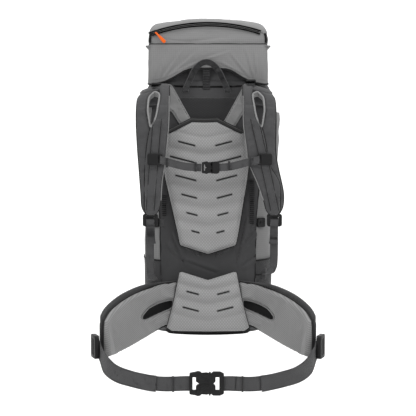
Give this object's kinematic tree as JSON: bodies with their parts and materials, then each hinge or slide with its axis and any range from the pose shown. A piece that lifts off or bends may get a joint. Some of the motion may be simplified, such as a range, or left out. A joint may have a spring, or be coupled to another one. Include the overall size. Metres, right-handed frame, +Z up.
{
  "type": "hiking backpack",
  "caption": "Tall top-lidded trekking pack with slotted back and lumbar pads, sliding shoulder harness, sternum strap, wrap-round hip belt and buckles.",
  "frame": {"origin": "the point under the top of the haul loop where a hook bears", "axes": "-Y out of the harness side towards the wearer, +X to the right as the harness is seen, +Z up"},
  "size_m": [0.544, 0.6253, 0.909],
  "materials": {
    "shell_fabric_dark": "woven polyester, matt",
    "shell_fabric_grey": "ripstop polyester, matt",
    "pad_mesh": "spacer mesh over foam",
    "stretch_mesh": "stretch mesh",
    "webbing": "woven webbing",
    "buckle_plastic": "moulded acetal",
    "zip_tape": "coil zip on tape",
    "zip_metal": "painted zinc",
    "pull_cord": "braided cord, orange",
    "spring_steel": "spring wire",
    "frame_plastic": "extruded polyethylene sheet",
    "stay_aluminium": "drawn bar"
  },
  "bodies": {
    "root": {"bottom_panel": "shell_fabric_dark", "back_panel": "shell_fabric_dark", "front_panel": "shell_fabric_dark", "left_side_panel": "shell_fabric_grey", "right_side_panel": "shell_fabric_grey", "collar": "shell_fabric_dark", "collar_drawcord": "webbing", "cord_lock_barrel": "buckle_plastic", "cord_lock_spring": "spring_steel", "frame_sheet": "frame_plastic", "frame_stays": "stay_aluminium", "left_side_pocket": "stretch_mesh", "right_side_pocket": "stretch_mesh", "compression_straps": "webbing", "compression_locks": "buckle_plastic", "lid_rear_flap": "shell_fabric_grey", "front_straps": "webbing", "lid_buckle_plugs": "buckle_plastic", "front_zip_tape": "zip_tape", "back_pad": "pad_mesh", "lumbar_pad": "pad_mesh", "left_strap_webbing": "webbing", "right_strap_webbing": "webbing", "fin_roots": "pad_mesh", "hang_tape": "webbing"},
    "lid": {"lid_top": "shell_fabric_grey", "lid_floor": "shell_fabric_grey", "lid_skirt": "shell_fabric_grey", "lid_zip_tape": "zip_tape", "lid_straps": "webbing", "lid_buckle_sockets": "buckle_plastic"},
    "lid_slider": {"lid_zip_slider": "zip_metal"},
    "lid_pull": {"lid_zip_pull": "pull_cord"},
    "front_slider": {"front_zip_slider": "zip_metal"},
    "front_pull": {"front_zip_pull": "pull_cord"},
    "harness": {"yoke": "shell_fabric_dark", "left_shoulder_strap": "shell_fabric_dark", "right_shoulder_strap": "shell_fabric_dark", "strap_rails": "webbing", "left_strap_adjuster": "buckle_plastic", "right_strap_adjuster": "buckle_plastic", "load_lifters": "webbing", "load_lifter_locks": "buckle_plastic"},
    "sternum": {"sternum_sliders": "buckle_plastic", "sternum_webbing": "webbing", "sternum_socket": "buckle_plastic"},
    "sternum_male": {"sternum_plug": "buckle_plastic"},
    "hip_left": {"left_fin_pad": "pad_mesh", "left_fin_shell": "shell_fabric_dark", "left_belt_lock": "buckle_plastic", "left_belt_webbing": "webbing", "hip_buckle_socket": "buckle_plastic"},
    "hip_right": {"right_fin_pad": "pad_mesh", "right_fin_shell": "shell_fabric_dark", "right_belt_lock": "buckle_plastic", "right_belt_webbing": "webbing", "hip_buckle_plug": "buckle_plastic"},
    "haul_loop": {"haul_loop": "webbing"},
    "lock_button": {"cord_lock_button": "buckle_plastic"}
  },
  "joints": [
    {"name": "lid_open", "type": "hinge", "parent": "root", "child": "lid", "pos_m": [0, 0.0075, 0.055], "axis": [1, 0, 0], "range_deg": [0, 80]},
    {"name": "lid_zip_travel", "type": "hinge", "parent": "lid", "child": "lid_slider", "pos_m": [0, 0.0075, -0.326], "axis": [0, 1, 0], "range_deg": [0, 34]},
    {"name": "lid_pull_swing", "type": "hinge", "parent": "lid_slider", "child": "lid_pull", "pos_m": [-0.13021, 0.0012, 0.08696], "axis": [-0.7431, 0, -0.6691], "range_deg": [0, 90]},
    {"name": "front_zip_travel", "type": "slide", "parent": "root", "child": "front_slider", "axis": [1, 0, 0], "range_m": [0, 0.14]},
    {"name": "front_pull_swing", "type": "hinge", "parent": "front_slider", "child": "front_pull", "pos_m": [-0.07, 0.29108, -0.469], "axis": [1, 0, 0], "range_deg": [0, 90]},
    {"name": "hip_belt_left_swing", "type": "hinge", "parent": "root", "child": "hip_left", "pos_m": [-0.118, 0.0145, -0.614], "axis": [0, 0, -1], "range_deg": [0, 45]},
    {"name": "hip_belt_right_swing", "type": "hinge", "parent": "root", "child": "hip_right", "pos_m": [0.118, 0.0145, -0.614], "axis": [0, 0, 1], "range_deg": [0, 45]},
    {"name": "back_length", "type": "slide", "parent": "root", "child": "harness", "axis": [0, 0, -1], "range_m": [0, 0.04]},
    {"name": "sternum_height", "type": "slide", "parent": "harness", "child": "sternum", "axis": [0, 0, 1], "range_m": [-0.02, 0.02]},
    {"name": "sternum_buckle_release", "type": "slide", "parent": "sternum", "child": "sternum_male", "axis": [1, 0, 0], "range_m": [0, 0.025]},
    {"name": "haul_loop_swing", "type": "hinge", "parent": "root", "child": "haul_loop", "pos_m": [0, 0.0212, -0.062], "axis": [1, 0, 0], "range_deg": [0, 75]},
    {"name": "cord_lock_press", "type": "slide", "parent": "root", "child": "lock_button", "axis": [0, 0, -1], "range_m": [0, 0.004], "stiffness_N_per_m": 300, "springref_m": -0.002, "deforming": ["cord_lock_spring"]}
  ],
  "couplings": [
    {"joint": "hip_belt_right_swing", "follows": "hip_belt_left_swing", "ratio": 1}
  ]
}
